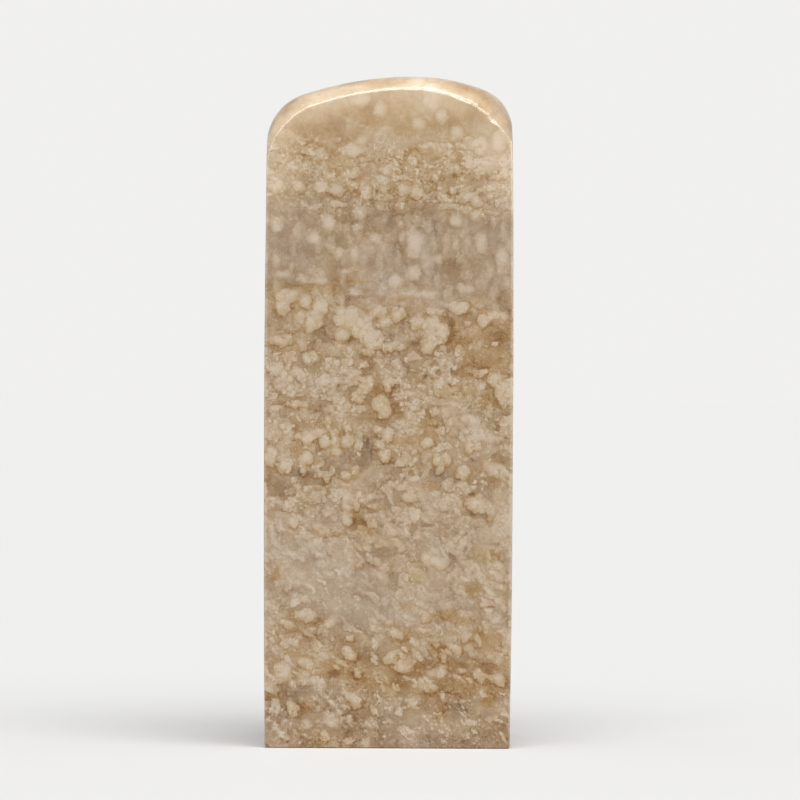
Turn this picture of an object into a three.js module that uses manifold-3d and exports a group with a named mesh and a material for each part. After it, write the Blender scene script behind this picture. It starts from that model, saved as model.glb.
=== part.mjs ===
// A stone seal: one upright polished block with an arched top, bevelled arrises and a carved stamping face.
// Millimetres, +Z up. The origin is the middle of the stamping face, and the front face looks along -Y.
import * as THREE from "three";
import { mergeVertices } from "three/addons/utils/BufferGeometryUtils.js";
import Module from "manifold-3d";

const wasm = await Module();
wasm.setup();
const { degToRad, lerp, smoothstep } = THREE.MathUtils;

// The block. Its sides are ground very slightly full, so it is widest half-way up.
const HEIGHT = 81; // foot to the arch's highest line
const WIDTH = 30; // at the widest place
const DEPTH = 30; // front face to back face
const WIDEST_HEIGHT = 39.6; // above the foot
const SIDE_FULLNESS = 0.25; // how far each side draws in from the widest place to the foot
const FOOT_RADIUS = 0.45; // of the two foot edges that run from front to back

// The arch, a low vault from front to back. Its highest line lies right of the middle, and the left slope
// is the longer and flatter one.
const APEX_OFFSET = 3;
const CROWN_RADIUS_LEFT = 43;
const CROWN_RADIUS_RIGHT = 24.5;
const SHOULDER_RADIUS_LEFT = 6.2;
const SHOULDER_RADIUS_RIGHT = 5.2;

// The bevel round the front face and round the back face, measured square to the outline
const CROWN_BEVEL = 1.6; // at the arch's highest line
const SHOULDER_BEVEL_LEFT = 2.05; // reached where the outline has turned by SHOULDER_HEADING
const SHOULDER_BEVEL_RIGHT = 2.6;
const EDGE_BEVEL = 0.3; // down the sides and along the foot
const SHOULDER_HEADING = degToRad(28);
const BEVEL_FULL_DROP_LEFT = 3.5; // below the arch's top, the shoulder's bevel starts to narrow here
const BEVEL_FULL_DROP_RIGHT = 3.3;
const BEVEL_END_DROP_LEFT = 11.5; // and is down to the edge's width here
const BEVEL_END_DROP_RIGHT = 7.8;
const ARRIS_ANGLE = degToRad(50); // between the bevel and level where it leaves the face; it ends level

// The stamping face: a raised frame round a mirrored key fret of square spirals, all cut to one depth
const CARVE_DEPTH = 1;
const FRAME_WIDTH = 1.8; // from the block's side to the carved field
const LINE_WIDTH = 1.2; // of the fret's raised lines
const FRAME_GAP = 1.3; // cut ground between the frame and the fret
const MIRROR_GAP = 1.3; // cut ground between neighbouring spirals
const SPIRAL_PITCHES = 3; // line spacings along a spiral's longest side
const CUT_OVERSHOOT = 1; // how far the cutting solids pass the face

const STEPS = { foot: 6, side: 8, shoulder: 16, crown: 16, bevel: 6 };

// A heading is the outward normal's angle from straight up, clockwise seen from the front.
const UP = 0;
const LEVEL = Math.PI / 2;
const DOWN = Math.PI;
const headingBetween = (from, to) => Math.atan2(to.x - from.x, to.z - from.z);

// The centre of a circle of the given radius that touches two larger circles from inside, on the outer side.
function touchingInside(a, b, radius, side) {
  const reachA = a.radius - radius;
  const reachB = b.radius - radius;
  const apart = Math.hypot(b.x - a.x, b.z - a.z);
  const along = (reachA ** 2 - reachB ** 2 + apart ** 2) / (2 * apart);
  const off = side * Math.sqrt(reachA ** 2 - along ** 2);
  const ux = (b.x - a.x) / apart;
  const uz = (b.z - a.z) / apart;
  return { x: a.x + along * ux - off * uz, z: a.z + along * uz + off * ux, radius };
}

// The circles of one half of the outline. side is -1 on the left and 1 on the right.
function halfOutline(side, crownRadius, shoulderRadius) {
  const sideRadius = (WIDEST_HEIGHT ** 2 + SIDE_FULLNESS ** 2) / (2 * SIDE_FULLNESS);
  const crown = { x: APEX_OFFSET, z: HEIGHT - crownRadius, radius: crownRadius };
  const flank = { x: side * (WIDTH / 2 - sideRadius), z: WIDEST_HEIGHT, radius: sideRadius };
  const shoulder = touchingInside(flank, crown, shoulderRadius, side);
  const footReach = Math.sqrt((flank.radius - FOOT_RADIUS) ** 2 - (flank.z - FOOT_RADIUS) ** 2);
  const foot = { x: flank.x + side * footReach, z: FOOT_RADIUS, radius: FOOT_RADIUS };
  return { crown, shoulder, flank, foot };
}

// Points along an arc, each with its heading. The last one is left out: it is the next arc's first.
function arcPoints(circle, from, to, steps) {
  return Array.from({ length: steps }, (_, i) => {
    const heading = lerp(from, to, i / steps);
    const x = circle.x + circle.radius * Math.sin(heading);
    const z = circle.z + circle.radius * Math.cos(heading);
    return { x, z, heading, radius: circle.radius };
  });
}

// The arcs of one half, from the arch's highest line down to the foot.
function halfPoints({ crown, shoulder, flank, foot }, side) {
  const crownEnd = headingBetween(crown, shoulder);
  const shoulderEnd = headingBetween(flank, shoulder);
  const flankEnd = headingBetween(flank, foot);
  return [
    ...arcPoints(crown, UP, crownEnd, STEPS.crown),
    ...arcPoints(shoulder, crownEnd, shoulderEnd, STEPS.shoulder),
    ...arcPoints(flank, shoulderEnd, side * LEVEL, STEPS.side),
    ...arcPoints(flank, side * LEVEL, flankEnd, STEPS.side),
    ...arcPoints(foot, flankEnd, side * DOWN, STEPS.foot),
    ...arcPoints(foot, side * DOWN, side * DOWN, 1),
  ];
}

function bevelWidth({ z, heading, radius }) {
  const [shoulderBevel, fullDrop, endDrop] =
    heading < UP
      ? [SHOULDER_BEVEL_LEFT, BEVEL_FULL_DROP_LEFT, BEVEL_END_DROP_LEFT]
      : [SHOULDER_BEVEL_RIGHT, BEVEL_FULL_DROP_RIGHT, BEVEL_END_DROP_RIGHT];
  const arch = lerp(CROWN_BEVEL, shoulderBevel, smoothstep(Math.abs(heading), 0, SHOULDER_HEADING));
  const onArch = smoothstep(z, HEIGHT - endDrop, HEIGHT - fullDrop);
  const roomInCorner = 0.8 * radius;
  return Math.min(lerp(EDGE_BEVEL, arch, onArch), roomInCorner);
}

// One ring of the bevel, from the arris (0) to where it runs out level on the outline (1).
function bevelRing(outline, share, side) {
  const slope = ARRIS_ANGLE * (1 - share);
  return outline.flatMap((point) => {
    const roundness = bevelWidth(point) / (1 - Math.cos(ARRIS_ANGLE));
    const inset = roundness * (1 - Math.cos(slope));
    const back = roundness * (Math.sin(ARRIS_ANGLE) - Math.sin(slope));
    const x = point.x - inset * Math.sin(point.heading);
    const z = point.z - inset * Math.cos(point.heading);
    return [x, side * (DEPTH / 2 - back), z];
  });
}

// The block as one closed surface: the front face, rings of bevel, the plain body, and the same at the back.
function blockGeometry(outline) {
  const count = outline.length;
  const shares = Array.from({ length: STEPS.bevel + 1 }, (_, i) => i / STEPS.bevel);
  const front = shares.map((share) => bevelRing(outline, share, -1));
  const back = shares.map((share) => bevelRing(outline, share, 1)).reverse();
  const rings = [...front, ...back];
  const index = [];
  for (let r = 0; r + 1 < rings.length; r++) {
    for (let i = 0; i < count; i++) {
      const a = r * count + i;
      const b = r * count + ((i + 1) % count);
      index.push(a, b, a + count, b, b + count, a + count);
    }
  }
  const face = rings[0];
  const contour = outline.map((_, i) => new THREE.Vector2(face[3 * i], face[3 * i + 2]));
  const lastRing = (rings.length - 1) * count;
  for (const [a, b, c] of THREE.ShapeUtils.triangulateShape(contour, [])) {
    index.push(a, b, c, lastRing + a, lastRing + c, lastRing + b);
  }
  const geometry = new THREE.BufferGeometry();
  geometry.setAttribute("position", new THREE.Float32BufferAttribute(rings.flat(), 3));
  geometry.setIndex(index);
  return geometry;
}

function toSolid(geometry) {
  geometry.deleteAttribute("normal");
  geometry.deleteAttribute("uv");
  const merged = mergeVertices(geometry);
  const triVerts = new Uint32Array(merged.index.array);
  return new wasm.Manifold(
    new wasm.Mesh({ numProp: 3, vertProperties: merged.attributes.position.array, triVerts }),
  );
}

function toGeometry(solid) {
  const mesh = solid.getMesh();
  const geometry = new THREE.BufferGeometry();
  geometry.setAttribute("position", new THREE.BufferAttribute(mesh.vertProperties, 3));
  geometry.setIndex(new THREE.BufferAttribute(mesh.triVerts, 1));
  geometry.computeVertexNormals();
  return geometry;
}

// A box between two opposite corners, each [x, y], and two heights.
function boxSolid([xa, ya], [xb, yb], bottom, top) {
  const box = new THREE.BoxGeometry(Math.abs(xb - xa), Math.abs(yb - ya), top - bottom);
  box.translate((xa + xb) / 2, (ya + yb) / 2, (bottom + top) / 2);
  return toSolid(box);
}

// The corners of a square spiral in line spacings, from its outer end inwards.
function spiralCorners(pitches) {
  const directions = [[1, 0], [0, -1], [-1, 0], [0, 1]];
  const corners = [[0, pitches]];
  for (let turn = 0; turn < 2 * pitches + 1; turn++) {
    const length = pitches - Math.max(0, Math.ceil((turn - 2) / 2));
    const [u, v] = corners.at(-1);
    const [du, dv] = directions[turn % 4];
    corners.push([u + du * length, v + dv * length]);
  }
  return corners;
}

// What is cut from the stamping face: the field inside the frame, less the fret's lines.
function carvingSolid(footHalfWidth) {
  const field = [footHalfWidth - FRAME_WIDTH, DEPTH / 2 - FRAME_WIDTH];
  const first = MIRROR_GAP / 2 + LINE_WIDTH / 2; // from a middle line to the nearest line's centre
  const pitch = field.map((half) => (half - FRAME_GAP - LINE_WIDTH / 2 - first) / SPIRAL_PITCHES);
  const corners = spiralCorners(SPIRAL_PITCHES);
  let cut = boxSolid([-field[0], -field[1]], field, -CUT_OVERSHOOT, CARVE_DEPTH);
  for (const [mirrorX, mirrorY] of [[1, 1], [-1, 1], [-1, -1], [1, -1]]) {
    for (let i = 0; i + 1 < corners.length; i++) {
      const ends = corners.slice(i, i + 2);
      const [from, to] = ends.map((corner) => corner.map((c, axis) => first + c * pitch[axis]));
      const low = from.map((value, axis) => Math.min(value, to[axis]) - LINE_WIDTH / 2);
      const high = from.map((value, axis) => Math.max(value, to[axis]) + LINE_WIDTH / 2);
      const mirrored = [low, high].map(([x, y]) => [x * mirrorX, y * mirrorY]);
      cut = cut.subtract(boxSolid(...mirrored, -2 * CUT_OVERSHOOT, CARVE_DEPTH + CUT_OVERSHOOT));
    }
  }
  return cut;
}

function sealStone() {
  const left = halfOutline(-1, CROWN_RADIUS_LEFT, SHOULDER_RADIUS_LEFT);
  const right = halfOutline(1, CROWN_RADIUS_RIGHT, SHOULDER_RADIUS_RIGHT);
  const leftUpwards = halfPoints(left, -1).slice(1).reverse();
  const outline = [...leftUpwards, ...halfPoints(right, 1)];
  const block = toSolid(blockGeometry(outline));
  const carving = carvingSolid(right.foot.x + FOOT_RADIUS);
  const stone = new THREE.MeshStandardMaterial({ color: 0xb0987c, roughness: 0.2, metalness: 0 });
  const mesh = new THREE.Mesh(toGeometry(block.subtract(carving)), stone);
  mesh.name = "seal_stone";
  return mesh;
}

const seal = new THREE.Group();
seal.add(sealStone());
export default seal;
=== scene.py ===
"""A polished stone seal on its stamping face: surface, marbling, camera, stage and light."""
import math
from types import SimpleNamespace

import bpy
import numpy as np
from mathutils import Euler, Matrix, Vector, noise
from mathutils.geometry import delaunay_2d_cdt


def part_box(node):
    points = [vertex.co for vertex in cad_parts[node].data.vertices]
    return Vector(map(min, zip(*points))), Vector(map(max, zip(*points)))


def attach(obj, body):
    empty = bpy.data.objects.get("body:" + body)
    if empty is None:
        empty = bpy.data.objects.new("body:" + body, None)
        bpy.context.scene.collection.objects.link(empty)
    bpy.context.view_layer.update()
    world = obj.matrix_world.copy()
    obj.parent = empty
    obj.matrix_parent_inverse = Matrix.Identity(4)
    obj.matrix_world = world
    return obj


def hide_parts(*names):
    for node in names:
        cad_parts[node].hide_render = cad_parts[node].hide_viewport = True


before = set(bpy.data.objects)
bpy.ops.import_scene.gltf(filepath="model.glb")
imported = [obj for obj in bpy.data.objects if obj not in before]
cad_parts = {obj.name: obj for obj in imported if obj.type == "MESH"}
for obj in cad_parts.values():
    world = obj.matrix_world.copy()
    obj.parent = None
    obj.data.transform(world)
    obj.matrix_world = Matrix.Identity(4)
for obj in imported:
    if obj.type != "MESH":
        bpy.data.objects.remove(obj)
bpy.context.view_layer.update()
low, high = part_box("seal_stone")

MM = 0.001
WIDTH, DEPTH, HEIGHT = [(high[i] - low[i]) / MM for i in range(3)]

# The block and its arch in millimetres, as the CAD solid has them: -1 is the left side and 1 the right
WIDEST_HEIGHT = 39.6
SIDE_FULLNESS = 0.25
FOOT_RADIUS = 0.45
APEX_OFFSET = 3.0
CROWN_RADIUS = {-1: 43.0, 1: 24.5}
SHOULDER_RADIUS = {-1: 6.2, 1: 5.2}
CROWN_BEVEL = 1.6
SHOULDER_BEVEL = {-1: 2.05, 1: 2.6}
EDGE_BEVEL = 0.3
SHOULDER_HEADING = math.radians(28)

# How far below the top the bevel starts to narrow, and is down to the edge's width. On the right both lie
# a little lower than on the solid.
BEVEL_FULL_DROP = {-1: 3.5, 1: 3.6}
BEVEL_END_DROP = {-1: 11.5, 1: 9.6}

# The arris between face and bevel: the slope it ends at, its radius left and right, and where it widens
ARRIS_ANGLE = math.radians(50)
ARRIS_RADIUS_LEFT = 0.55
ARRIS_RADIUS_RIGHT = 0.95
ARRIS_WIDENS = (-6, 9)

# How far and over what length the arris wavers, and between which x that grows
UNSTEADY = 0.05
UNSTEADY_LENGTH = 0.8
UNSTEADY_GROWS = (-4, 8)

# The stamping face's frame and key fret, and how far a carved wall runs out as it rises
CARVE_DEPTH = 1.0
FRAME_WIDTH = 1.8
LINE_WIDTH = 1.2
FRAME_GAP = 1.3
MIRROR_GAP = 1.3
SPIRAL_PITCHES = 3
WALL_RUN = 0.16

# Spacing of the surface's points, and the steps round the arris and down the bevel
ARCH_SPACING = 0.2
FLANK_SPACING = 0.45
FOOT_SPACING = FOOT_RADIUS / 4
FRONT_SPACING = 0.42
BACK_SPACING = 1.2
EDGE_STATIONS = (0.6, 1.2)
LEAST_ROW = 0.1
ARRIS_STEPS = 6
BEVEL_STEPS = 10

# A bevel's largest share of the outline's radius, and what counts as the radius of a straight stretch
CORNER_SHARE = 0.8
STRAIGHT = 99.0

# How far and over what length the hand polish wanders, and between which heights it sets in
POLISH_WANDER = 0.05
POLISH_LENGTH = 9.0
POLISH_STARTS = (0.5, 3)

# The beads on the arris: depth, length, between which x they deepen, and how much the surface faces the
# front or the back where they begin and end
BEAD_DEPTH = 0.1
BEAD_LENGTH = 0.5
BEADS_DEEPEN = (-8, 4)
BEADS_BEGIN = (0.5, 0.7)
BEADS_END = (0.96, 0.995)

# The flat sheet that the surface is unfolded on: its side and its islands' origins
SHEET_SIDE = 134
ISLANDS = {"front": (16, 1), "back": (47.5, 1), "left": (80.5, 1), "right": (115.5, 1), "foot": (16, 100)}


def smooth(value, start, end):
    share = np.clip((value - start) / (end - start), 0, 1)
    return share * share * (3 - 2 * share)


def wander(points, size, seed):
    """Smooth noise from -1 to 1 at points in millimetres, with features of about that size."""
    shift = Vector((seed * 17.3, seed * 5.1, seed * 9.7))
    return np.array([noise.noise(Vector(point) / size + shift) for point in points])


def values_of(items, name, kind=float, width=1):
    """The values that a mesh holds for each of its points, faces or corners."""
    values = np.empty(len(items) * width, kind)
    items.foreach_get(name, values)
    return values.reshape(-1, width).squeeze()


def add_object(name, data):
    thing = bpy.data.objects.new(name, data)
    bpy.context.scene.collection.objects.link(thing)
    return thing


def new_material(name):
    material = bpy.data.materials.new(name)
    material.use_nodes = True
    return material, material.node_tree, material.node_tree.nodes["Principled BSDF"]


# The outline

def touching_inside(a, b, radius, side):
    """The circle that touches two larger ones (x, z, radius) from inside, on the outer side."""
    reach_a, reach_b = a[2] - radius, b[2] - radius
    apart = math.hypot(b[0] - a[0], b[1] - a[1])
    along = (reach_a**2 - reach_b**2 + apart**2) / (2 * apart)
    off = side * math.sqrt(reach_a**2 - along**2)
    ux, uz = (b[0] - a[0]) / apart, (b[1] - a[1]) / apart
    return a[0] + along * ux - off * uz, a[1] + along * uz + off * ux, radius


def heading_between(start, end):
    """0 is up, and a right angle is to the right."""
    return math.atan2(end[0] - start[0], end[1] - start[1])


def arc(circle, start, end, spacing):
    """Columns x, z, heading, radius along an arc, without its last point."""
    steps = max(2, round(abs(end - start) * circle[2] / spacing))
    heading = start + (end - start) * np.arange(steps) / steps
    x = circle[0] + circle[2] * np.sin(heading)
    z = circle[1] + circle[2] * np.cos(heading)
    return np.column_stack([x, z, heading, np.full(steps, circle[2])])


def half_outline(side):
    """From the arch's highest line down one side to the end of the foot's corner."""
    side_radius = (WIDEST_HEIGHT**2 + SIDE_FULLNESS**2) / (2 * SIDE_FULLNESS)
    crown = (APEX_OFFSET, HEIGHT - CROWN_RADIUS[side], CROWN_RADIUS[side])
    flank = (side * (WIDTH / 2 - side_radius), WIDEST_HEIGHT, side_radius)
    shoulder = touching_inside(flank, crown, SHOULDER_RADIUS[side], side)
    foot_reach = math.sqrt((side_radius - FOOT_RADIUS) ** 2 - (WIDEST_HEIGHT - FOOT_RADIUS) ** 2)
    foot = (flank[0] + side * foot_reach, FOOT_RADIUS, FOOT_RADIUS)
    crown_end = heading_between(crown, shoulder)
    shoulder_end = heading_between(flank, shoulder)
    flank_end = heading_between(flank, foot)
    return np.vstack([
        arc(crown, 0, crown_end, ARCH_SPACING),
        arc(shoulder, crown_end, shoulder_end, ARCH_SPACING),
        arc(flank, shoulder_end, side * math.pi / 2, FLANK_SPACING),
        arc(flank, side * math.pi / 2, flank_end, FLANK_SPACING),
        arc(foot, flank_end, side * math.pi, FOOT_SPACING),
        [[foot[0], 0, side * math.pi, FOOT_RADIUS]],
    ])


# The stamping face

def fret_centres(half):
    """The fret's line centres on one side of a middle line, for a face of that half width."""
    field = half - FRAME_WIDTH
    first = MIRROR_GAP / 2 + LINE_WIDTH / 2
    last = field - FRAME_GAP - LINE_WIDTH / 2
    return first + np.arange(SPIRAL_PITCHES + 1) * (last - first) / SPIRAL_PITCHES


def wall_stations(half):
    """Positions across the face, on both sides, that give each carved wall its foot, middle and lip."""
    centres = fret_centres(half)
    raised_to = np.concatenate([centres + LINE_WIDTH / 2, centres - LINE_WIDTH / 2])
    outward = np.concatenate([np.ones(len(centres)), -np.ones(len(centres))])
    edges = np.append(raised_to, half - FRAME_WIDTH)
    outward = np.append(outward, -1)
    stations = [edges + outward * share * WALL_RUN for share in (0, 0.5, 1)]
    stations = np.sort(np.concatenate(stations))
    return np.concatenate([-stations[::-1], [0], stations])


def spiral_corners():
    """One spiral's corners, in line spacings from the face's middle lines, outermost first."""
    directions = [(1, 0), (0, -1), (-1, 0), (0, 1)]
    corners = [(0, SPIRAL_PITCHES)]
    for turn in range(2 * SPIRAL_PITCHES + 1):
        length = SPIRAL_PITCHES - max(0, math.ceil((turn - 2) / 2))
        du, dv = directions[turn % 4]
        corners.append((corners[-1][0] + du * length, corners[-1][1] + dv * length))
    return corners


def box_distance(x, y, low_corner, high_corner):
    """Distance outside an upright box, negative inside."""
    dx = np.maximum(low_corner[0] - x, x - high_corner[0])
    dy = np.maximum(low_corner[1] - y, y - high_corner[1])
    outside = np.hypot(np.maximum(dx, 0), np.maximum(dy, 0))
    return outside + np.minimum(np.maximum(dx, dy), 0)


def carved_depth(x, y, half_x, half_y):
    """How deep the stamping face is cut at each point. The fret is the same in all four quarters."""
    x, y = np.abs(x), np.abs(y)
    field = (half_x - FRAME_WIDTH, half_y - FRAME_WIDTH)
    ground = -box_distance(x, y, [-side for side in field], field)
    centres_x, centres_y = fret_centres(half_x), fret_centres(half_y)
    corners = [(centres_x[u], centres_y[v]) for u, v in spiral_corners()]
    for start, end in zip(corners, corners[1:]):
        low_corner = [min(a, b) - LINE_WIDTH / 2 for a, b in zip(start, end)]
        high_corner = [max(a, b) + LINE_WIDTH / 2 for a, b in zip(start, end)]
        ground = np.minimum(ground, box_distance(x, y, low_corner, high_corner))
    return CARVE_DEPTH * smooth(ground, 0, WALL_RUN)


# The surface

def arris_radius(outline):
    """Tight on the left, wider on the right."""
    wider = smooth(outline[:, 0], *ARRIS_WIDENS)
    return ARRIS_RADIUS_LEFT + (ARRIS_RADIUS_RIGHT - ARRIS_RADIUS_LEFT) * wider


def bevel_width(outline):
    """Up to where the face begins: the arris is rounded on both sides of the bevel's nominal edge."""
    x, z, heading, radius = outline.T
    sizes = (SHOULDER_BEVEL, BEVEL_FULL_DROP, BEVEL_END_DROP)
    shoulder, full_drop, end_drop = [np.where(heading < 0, size[-1], size[1]) for size in sizes]
    turned = smooth(np.abs(heading), 0, SHOULDER_HEADING)
    rounding = arris_radius(outline) * math.tan((math.pi / 2 - ARRIS_ANGLE) / 2)
    arch = CROWN_BEVEL + (shoulder - CROWN_BEVEL) * turned + rounding
    on_arch = smooth(z, HEIGHT - end_drop, HEIGHT - full_drop)
    unsteady = wander(np.column_stack([x, 0 * x, z]), UNSTEADY_LENGTH, seed=5) * UNSTEADY
    unsteady *= 1 + smooth(x, *UNSTEADY_GROWS)
    return np.minimum(EDGE_BEVEL + (arch + unsteady - EDGE_BEVEL) * on_arch, CORNER_SHARE * radius)


def bevel_profile(width, radius):
    """Insets and depths of the rings from the face to the outline: a tight arris, then a slow curve."""
    arris = np.minimum(radius, width)
    gained = arris * math.cos(ARRIS_ANGLE)
    slow = (width - gained) / (1 - math.cos(ARRIS_ANGLE))
    insets, depths = [], []
    for slope in np.linspace(math.pi / 2, ARRIS_ANGLE, ARRIS_STEPS + 1):
        insets.append(width - arris * math.cos(slope))
        depths.append(arris * (1 - math.sin(slope)))
    arris_depth = depths[-1]
    for slope in np.linspace(ARRIS_ANGLE, 0, BEVEL_STEPS + 1)[1:]:
        insets.append(slow * (1 - math.cos(slope)))
        depths.append(arris_depth + slow * (math.sin(ARRIS_ANGLE) - math.sin(slope)))
    return np.array(insets), np.array(depths)


def wrap_rings():
    """Rings of points from the front's border round the edges to the back's, and which are underneath."""
    left, right = half_outline(-1), half_outline(1)
    half_x = right[-1, 0] + FOOT_RADIUS
    across = wall_stations(half_x)
    across = across[np.abs(across) < right[-1, 0] - LEAST_ROW]
    n_across = len(across)
    level = np.zeros(n_across)
    foot_line = np.column_stack([across[::-1], level, level + math.pi, level + STRAIGHT])
    outline = np.vstack([left[1:][::-1], right, foot_line])
    underneath = np.arange(len(outline)) >= len(outline) - n_across

    insets, depths = bevel_profile(bevel_width(outline), arris_radius(outline))
    direction = np.column_stack([np.sin(outline[:, 2]), np.cos(outline[:, 2])])
    foot_end = DEPTH / 2 - depths[-1][-1]
    edges = [sign * (DEPTH / 2 - inset) for inset in EDGE_STATIONS for sign in (-1, 1)]
    stations = np.sort(np.append(wall_stations(DEPTH / 2), edges))
    stations = stations[np.abs(stations) < foot_end - LEAST_ROW]

    bevel = []
    for inset, depth in zip(insets, depths):
        xz = outline[:, :2] - direction * inset[:, None]
        bevel.append(np.column_stack([xz[:, 0], depth - DEPTH / 2, xz[:, 1]]))
    between = [bevel[-1] * (1, -station / foot_end, 1) for station in stations]
    back = [ring * (1, -1, 1) for ring in bevel[::-1]]
    rings = np.array(bevel + between + back)

    under = rings[:, underneath]
    rings[:, underneath, 2] += carved_depth(under[:, :, 0], under[:, :, 1], half_x, DEPTH / 2)
    return rings, underneath


def inside(points, border):
    """Which points lie inside a closed border: a line to the right crosses it an odd number of times."""
    x, z = points.T
    crossings = np.zeros(len(points), int)
    for (x1, z1), (x2, z2) in zip(border, np.roll(border, -1, axis=0)):
        if z1 == z2:
            continue
        between = (z >= min(z1, z2)) & (z < max(z1, z2))
        crossings += between & (x < x1 + (z - z1) / (z2 - z1) * (x2 - x1))
    return crossings % 2 == 1


def face_fill(border, spacing):
    """Points strewn evenly inside a face's border, none on it, and the triangles that join the two."""
    low_corner, high_corner = border.min(axis=0), border.max(axis=0)
    x, z = np.meshgrid(
        np.arange(low_corner[0], high_corner[0], spacing),
        np.arange(low_corner[1] + spacing / 2, high_corner[1], spacing * math.sqrt(3) / 2))
    x[1::2] += spacing / 2
    points = np.column_stack([x.ravel(), z.ravel()])
    points = points[inside(points, border)]
    clear = np.full(len(points), np.inf)
    for corner in border:
        clear = np.minimum(clear, np.hypot(*(points - corner).T))
    points = points[clear > 0.6 * spacing]
    edges = [(i, (i + 1) % len(border)) for i in range(len(border))]
    everything = [tuple(point) for point in np.vstack([border, points])]
    inside_only, merge_distance = 1, 1e-6
    triangles = delaunay_2d_cdt(everything, edges, [], inside_only, merge_distance)[2]
    return points, np.array(triangles)


def polished(mesh):
    """Takes the surface in a little, unevenly, as a hand polish does, and beads the arris on the right.

    The stamping face stays flat.
    """
    points = values_of(mesh.vertices, "co", width=3) / MM
    normals = values_of(mesh.vertex_normals, "vector", width=3)
    wear = POLISH_WANDER * (0.5 + 0.5 * wander(points, POLISH_LENGTH, seed=1))
    facing = np.abs(normals[:, 1])
    on_arris = smooth(facing, *BEADS_BEGIN) * (1 - smooth(facing, *BEADS_END))
    on_arris *= smooth(points[:, 0], *BEADS_DEEPEN)
    wear += BEAD_DEPTH * (0.5 + 0.5 * wander(points, BEAD_LENGTH, seed=6)) * on_arris
    wear *= smooth(points[:, 2], *POLISH_STARTS)
    mesh.vertices.foreach_set("co", ((points - normals * wear[:, None]) * MM).ravel())
    mesh.update()


def unfold(mesh, rings, underneath, islands):
    """Lays the surface out flat, in millimetres on a square sheet: both faces, both sides and the foot."""
    steps = np.linalg.norm(np.diff(rings, axis=0), axis=2)
    round_edges = np.vstack([np.zeros(steps.shape[1]), np.cumsum(steps, axis=0)])
    round_edges -= round_edges[-1] / 2
    middle = rings[len(rings) // 2]
    climb = np.append(0, np.cumsum(np.linalg.norm(np.diff(middle, axis=0), axis=1)))
    x, y, z = values_of(mesh.vertices, "co", width=3).T / MM
    across, up = np.zeros(len(x)), np.zeros(len(x))
    across[: round_edges.size] = round_edges.ravel()
    up[: round_edges.size] = np.tile(climb, len(rings))
    right_foot = climb[~underneath][-1]
    flat = {
        "front": (x, z),
        "back": (-x, z),
        "left": (across, up),
        "right": (across, right_foot - up),
        "foot": (x, y),
    }
    corners = values_of(mesh.loops, "vertex_index", int)
    corner_island = np.repeat(islands, values_of(mesh.polygons, "loop_total", int))
    sheet = np.zeros((len(corners), 2))
    for name, origin in ISLANDS.items():
        chosen = corner_island == name
        sheet[chosen] = np.column_stack(flat[name])[corners[chosen]] + origin
    mesh.uv_layers.new(name="OFBake").data.foreach_set("uv", (sheet / SHEET_SIDE).ravel())


def build_stone():
    """One closed mesh: the wrap from face to face, and the two faces."""
    rings, underneath = wrap_rings()
    n_rings, count, _ = rings.shape
    column = np.arange(count)
    after = (column + 1) % count
    strip = np.column_stack([column, after, after + count, column + count])
    apex = rings[-1][:, 2].argmax()
    side = np.where(column < apex, "left", "right")
    side = np.where(underneath | underneath[after], "foot", side)

    points, faces, islands = [rings.reshape(-1, 3)], [], []
    for ring in range(n_rings - 1):
        faces += (strip + ring * count).tolist()
        islands.append(side)
    n_points = n_rings * count
    for name, ring, spacing in (("front", 0, FRONT_SPACING), ("back", n_rings - 1, BACK_SPACING)):
        border = rings[ring]
        inner, triangles = face_fill(border[:, [0, 2]], spacing)
        points.append(np.column_stack([inner[:, 0], np.full(len(inner), border[0, 1]), inner[:, 1]]))
        triangles += np.where(triangles < count, ring * count, n_points - count)
        faces += (triangles if name == "front" else triangles[:, ::-1]).tolist()
        islands.append(np.full(len(triangles), name))
        n_points += len(inner)

    mesh = bpy.data.meshes.new("seal_stone_surface")
    mesh.from_pydata((np.vstack(points) * MM).tolist(), [], faces)
    mesh.polygons.foreach_set("use_smooth", [True] * len(faces))
    mesh.update()
    unfold(mesh, rings, underneath, np.concatenate(islands))
    polished(mesh)
    mark_front(mesh)
    return add_object("seal_stone_surface", mesh)


# The stone's marbling

# Tones from dark to pale for cool and for warm stone, and the tone of the painted light by the arch, from 0
# to 255
COOL_TONES = [(116, 95, 72), (143, 119, 92), (162, 139, 114), (182, 162, 139), (201, 184, 165)]
WARM_TONES = [(120, 83, 42), (145, 109, 64), (166, 135, 94), (184, 159, 125), (202, 183, 158)]
PAINTED_LIGHT_TONE = (238, 219, 194)

POLISH_ROUGHNESS = 0.18

# Levels by height in millimetres: how pale the clear stone is, how much that varies, how warm it is, and how
# much it holds of veins, round lumps, tall blurred ones, slanting slabs, level slabs and crumbs
# Near the foot the clear stone is darker: partly its own greyer band, partly painted shade
DEPTH_TONE = [
    (0, 0.5), (6, 0.54), (10, 0.57), (16, 0.7), (26, 0.69), (31, 0.6), (46, 0.6), (52, 0.68), (56, 0.59),
    (63, 0.57), (67, 0.68), (72, 0.74), (76, 0.72),
]
VARIETY = [(6, 0.6), (14, 0.7), (26, 0.8), (32, 1), (54, 1), (58, 0.8), (70, 1), (74, 0.7)]
WARMTH = [
    (0, 0.35), (5, 0.4), (8, 0.7), (13, 0.6), (17, 0.25), (24, 0.35), (30, 0.5), (40, 0.55), (48, 0.55),
    (53, 0.5), (56, 0.25), (63, 0.25), (66, 0.5), (70, 0.7), (76, 0.85), (79, 0.75), (81, 0.4),
]
VEINS = [(0, 0.3), (12, 0.6), (30, 0.4), (46, 0.7), (54, 1), (57, 0.1), (64, 0.2), (67, 1), (72, 1), (76, 0)]
CROWD = [
    (12, 0.35), (20, 0.4), (28, 0.8), (34, 0.9), (42, 0.95), (47, 0.9), (50, 0.5),
    (54, 0.3), (57, 0), (64, 0.2), (67, 0.6), (72, 0.4), (76, 0),
]
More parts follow.
